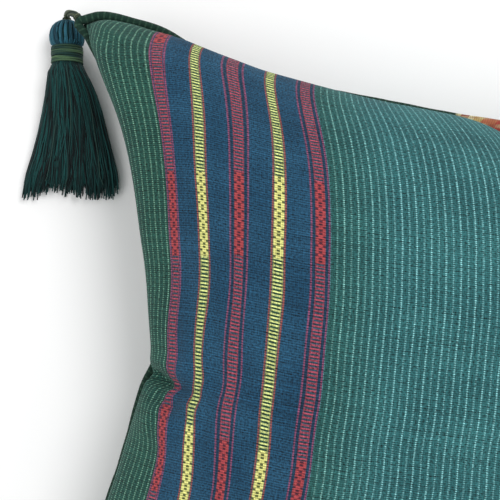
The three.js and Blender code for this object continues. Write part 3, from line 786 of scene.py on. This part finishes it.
def build_tassel(corner, skirt, head, strays, wound, twine):
    rng = np.random.default_rng(corner["seed"])
    name = corner["name"]
    threads = Bundle()
    # a core that keeps light from passing through the bundle
    along = np.array([1.5, 4, 8, 12, 15.3, 26, 29.6, 38.4, 49.6, 64, 78.4, 90, 96])
    half, top, stray = (column(TASSEL, k, along) for k in ("half", "top", "stray"))
    ring = []
    sides = 18
    for a, h, t, s in zip(along, half, top, stray):
        turn = np.linspace(0, 2 * np.pi, sides, endpoint=False)
        low = AXIS_Z - min(t - AXIS_Z, h) if h < 10.6 else 0
        middle, rise = (t + low) / 2, (t - low) / 2
        ring.append(np.stack([s + (h - 1.3) * .96 * np.cos(turn), np.full(sides, a), middle + (rise - 1.0) * .94 * np.sin(turn)], -1))
    ring = np.array(ring)
    base = threads.count
    threads.verts.append(place(ring, corner).reshape(-1, 3))
    threads.count += ring.shape[0] * sides
    for k in range(len(ring) - 1):
        for j in range(sides):
            m = (j + 1) % sides
            threads.faces.append((base + k * sides + j, base + (k + 1) * sides + j, base + (k + 1) * sides + m, base + k * sides + m))
            threads.uv += [(along[k] / 1000, j * .7), (along[k + 1] / 1000, j * .7), (along[k + 1] / 1000, j * .7 + .7), (along[k] / 1000, j * .7 + .7)]
    for k, order in ((0, 1), (len(ring) - 1, -1)):
        threads.faces.append(tuple([base + k * sides + j for j in range(sides)][::order]))
        threads.uv += [(0, 0)] * sides
    # head threads, over the ball from its top to the neck
    count = 62
    crown = Bundle()
    for k in range(count):
        turn = 2 * np.pi * (k + rng.uniform(-.2, .2)) / count
        a = np.array([.2, .9, 2.2, 4, 6.2, 8.8, 11.4, 13.6, 15.2, 17.5])
        h, t = column(TASSEL, "half", a), column(TASSEL, "top", a)
        rise = np.minimum(t - AXIS_Z, h)
        shrink = 1 - .35 / np.maximum(h, 1)
        slant = turn + .10 * np.sin(a / 15 * np.pi) * (1 if k % 3 else -1)
        path = np.stack([(h - .45) * shrink * np.cos(slant), a, AXIS_Z + (rise - .45) * shrink * np.sin(slant)], -1)
        crown.tube(place(path, corner), .56, 5, shift=k * 3.7)
    # the skirt, from the neck to its ragged ends
    total = 560
    for k in range(total):
        outer = k < total * .72
        rad = 1 - .15 * rng.uniform() ** 1.6 if outer else math.sqrt(rng.uniform(.25, .9))
        turn = rng.uniform(0, 2 * np.pi) if not outer else 2 * np.pi * (k + rng.uniform(-.5, .5)) / (total * .72)
        end = 99.5 + rng.normal() * 2.4 + 2.8 * math.sin(turn * 3 + corner["seed"]) + 1.3 * math.sin(turn * 11) - (1 - rad) * 4
        if rng.uniform() < .06:
            end -= rng.uniform(3, 14)
        end = min(end, 105.5)
        a = np.array([24.5, 27.5, 31, 36, 44, 54, 66, 78, 90, end])
        a[-2] = min(90, end - 5)
        h, t, s = (column(TASSEL, key, a) for key in ("half", "top", "stray"))
        low = np.where(h < 10, AXIS_Z - np.minimum(t - AXIS_Z, h), np.maximum(AXIS_Z * (1 - (a - 27) / 14), 0))
        low = np.maximum(low, 0)
        middle, rise = (t + low) / 2, (t - low) / 2
        wavy = np.cumsum(rng.normal(size=len(a)) * .042)
        wavy -= wavy[0]
        wavy[-2:] += rng.normal() * .03
        c = np.cos(turn + wavy)
        path = np.stack([s + (h - .4) * rad * c + rng.normal() * .35 * (a - 27) / 70,
                         a, middle + (rise - .4) * rad * np.sin(turn + wavy)], -1)
        radius = np.full(len(a), .47)
        radius[-1] = .34
        threads.tube(place(path, corner), radius, 4, shift=k * 1.31)
    skirt_obj = threads.build(f"tassel_{name}_threads", skirt)
    crown_obj = crown.build(f"tassel_{name}_head", head)

    # a few paler strands over the top of the skirt: painted highlight
    light = Bundle()
    for k in range(3):
        turn = rng.uniform(.15 * np.pi, .85 * np.pi)
        a = np.array([27.5, 33, 42, 54, 66, 80, 92, 100 - rng.uniform(0, 6)])
        h, t, s = (column(TASSEL, key, a) for key in ("half", "top", "stray"))
        wavy = np.cumsum(rng.normal(size=len(a)) * .035)
        path = np.stack([s + h * 1.0 * np.cos(turn + wavy), a, t / 2 + (t / 2 + .15) * np.sin(turn + wavy)], -1)
        light.tube(place(path, corner), .28, 4, shift=k * 2.1)
    light_obj = light.build(f"tassel_{name}_strays", strays)

    # the wound neck: turns of thread side by side, crossing a little
    band = Bundle()
    for k in range(8):
        turn = np.linspace(0, 2 * np.pi, 41)
        at = 16.35 + 1.235 * k + .22 * np.sin(turn + k * 1.3) * (1 if k % 2 else -1) + .35 * (turn / (2 * np.pi) - .5)
        r = 8.75 + .10 * np.sin(turn * 2 + k)
        path = np.stack([r * np.cos(turn), at, AXIS_Z + r * np.sin(turn)], -1)
        band.tube(place(path, corner), .70, 6, shift=(k % 2) * 1.7 + k * .23)
    band_obj = band.build(f"tassel_{name}_winding", wound)

    # the hanging loop: threads twisted together from the corner to the head
    away = np.array([corner["tip"][0], corner["tip"][1], 0.0]) / math.sqrt(2)
    tip = np.array([corner["tip"][0] * CX, corner["tip"][1] * CY, SEAM_CORNER_Z])
    lean = math.radians(corner["lean"])
    down = np.array([math.sin(lean), -math.cos(lean), 0.0])
    start = tip + away * (TIP_OFFSET + PIPING_RADIUS - .6)
    end = np.array([*corner["head"], AXIS_Z]) + down * 1.2
    ctrl = np.array([start, start + away * 3.4 + [0, 0, -2.2], start * .45 + end * .55 + away * 3.0 - down * 2.2,
                     end - down * 3.4 + [0, 0, .4], end])
    t = np.linspace(0, 4, 49)
    table = dict(at=[0, 1, 2, 3, 4])
    for q in range(3):
        table["xyz"[q]] = ctrl[:, q]
    mid = np.stack([column(table, q, t) for q in "xyz"], -1)
    tangent = np.gradient(mid, axis=0)
    tangent /= norm(tangent)[:, None]
    side = np.cross(tangent, [.3, .2, 1.0])
    side /= norm(side)[:, None]
    other = np.cross(side, tangent)
    twist = Bundle()
    for k in range(5):
        turn = t * 2.1 + 2 * np.pi * k / 5
        off = 1.12 + .12 * math.sin(k * 2.0)
        path = mid + side * (off * np.cos(turn))[:, None] + other * (off * np.sin(turn))[:, None]
        twist.tube(path, .74, 6, shift=k * 1.9)
    # a collar of thread where it is sewn to the corner, and one on top of the head
    for centre, axis, r in ((mid[3], tangent[3], 1.9), (mid[-6], tangent[-6], 2.1)):
        s1 = np.cross(axis, [.3, .2, 1.0])
        s1 /= norm(s1)
        s2 = np.cross(s1, axis)
        for k in range(2):
            turn = np.linspace(0, 2 * np.pi, 21)
            ring = centre + axis * (k - .5) * 1.2 + np.cos(turn)[:, None] * s1 * r + np.sin(turn)[:, None] * s2 * r
            twist.tube(ring, .55, 5, shift=k * 3.1)
    loop_obj = twist.build(f"tassel_{name}_twine", twine)
    return skirt_obj, crown_obj, light_obj, band_obj, loop_obj


# ---------------------------------------------------------------- the whole cushion
body = build_body()
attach(body, "root")
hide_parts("body")

piping = build_piping()
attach(piping, "root")
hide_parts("piping")

# The skirt's strands vary at random in tone; the near-black dark end is painted shade in the gaps between strands, the
# light end painted highlight.
skirt_mat = thread_material("tassel_cotton", (0, 6, 8), (16, 76, 74))
# The head's thread is the skirt's yarn carried over the ball, painted brighter: painted light on the rounded head.
lit_head_mat = thread_material("tassel_cotton_head_lit", (16, 58, 72), (46, 106, 124))
# paler strands on the top of the skirt: painted highlight
highlight_strand_mat = thread_material("tassel_cotton_highlight", (26, 58, 56), (52, 84, 76))
wound_mat = thread_material("neck_winding", (14, 50, 48), (80, 110, 76), twist=.8)
twine_mat = thread_material("loop_twine", (14, 34, 28), (104, 112, 84), twist=1.3)
for corner in CORNERS:
    threads, crown, strays, band, loop = build_tassel(corner, skirt_mat, lit_head_mat, highlight_strand_mat, wound_mat, twine_mat)
    tag = "tassel_" + corner["name"]
    for obj, node, slot in ((threads, tag, "tassel_thread"), (crown, None, "tassel_thread"), (strays, None, "tassel_thread"),
                            (band, tag + "_band", "band_thread"), (loop, tag + "_loop", "loop_thread")):
        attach(obj, "root")
        if node:
            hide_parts(node)

# ---------------------------------------------------------------- floor, light and camera
floor_mat = Nodes("pale_floor", .9, 0.0, (1, 1, 1, 1))
floor_mat.shader.inputs["Base Color"].default_value = (.97, .97, .97, 1)
bpy.ops.mesh.primitive_plane_add(size=8, location=(0, 0, -.0002))
floor = bpy.context.object
floor.name = "floor"
floor.data.materials.append(floor_mat.material)

scene = bpy.context.scene
scene.view_settings.view_transform = "Standard"
world = bpy.data.worlds.new("studio")
world.use_nodes = True
world.node_tree.nodes["Background"].inputs[0].default_value = (1, 1, 1, 1)
world.node_tree.nodes["Background"].inputs[1].default_value = .62
scene.world = world


def area(name, location, target, size, power):
    data = bpy.data.lights.new(name, "AREA")
    data.shape = "DISK"
    data.size = size
    data.energy = power
    obj = bpy.data.objects.new(name, data)
    obj.location = location
    obj.rotation_euler = (Vector(target) - Vector(location)).to_track_quat("-Z", "Y").to_euler()
    scene.collection.objects.link(obj)
    return obj


area("key", (.55, .75, 1.5), (-.05, 0, .08), .9, 15)
area("fill", (-1.1, -.3, 1.3), (-.1, 0, .08), 1.2, 6)

cam_data = bpy.data.cameras.new("camera")
cam_data.sensor_width = 36
cam_data.lens = 870 / 500 * 36
camera = bpy.data.objects.new("camera", cam_data)
camera.location = (-.1332, .0688, .524)
camera.rotation_euler = (0, 0, math.radians(4.5))
scene.collection.objects.link(camera)
scene.camera = camera
